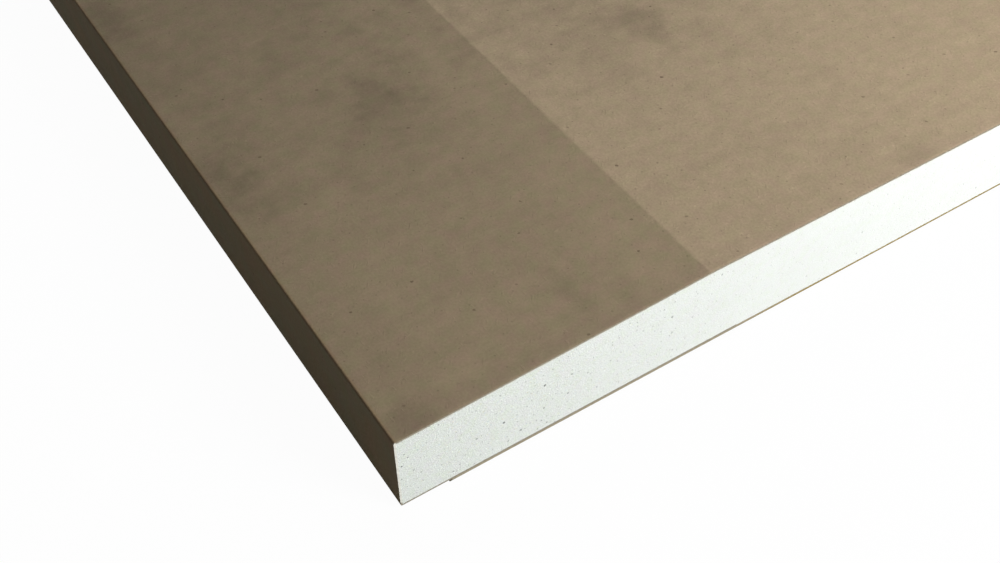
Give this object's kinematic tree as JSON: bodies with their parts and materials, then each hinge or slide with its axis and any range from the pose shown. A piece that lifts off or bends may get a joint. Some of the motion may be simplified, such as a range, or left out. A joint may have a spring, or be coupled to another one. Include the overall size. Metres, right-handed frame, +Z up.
{
  "type": "drywall sheet",
  "caption": "Flat drywall sheet with a gypsum core, brown face paper wrapped round its tapered long edges, and back paper.",
  "frame": {"origin": "middle of the sheet's underside, on the outer face of the back paper", "axes": "+X across the width, +Y along the length, +Z up out of the face; the sheet lies flat with its face up"},
  "size_m": [1.22, 2.44, 0.0159],
  "materials": {
    "gypsum": "chalky off-white gypsum, matte, finely pored",
    "face_paper": "brown kraft paper, matte, short fibres and flecks",
    "back_paper": "grey-brown recycled paper, matte, rough"
  },
  "bodies": {
    "root": {"gypsum_core": "gypsum", "face_paper": "face_paper", "back_paper": "back_paper"}
  },
  "joints": []
}
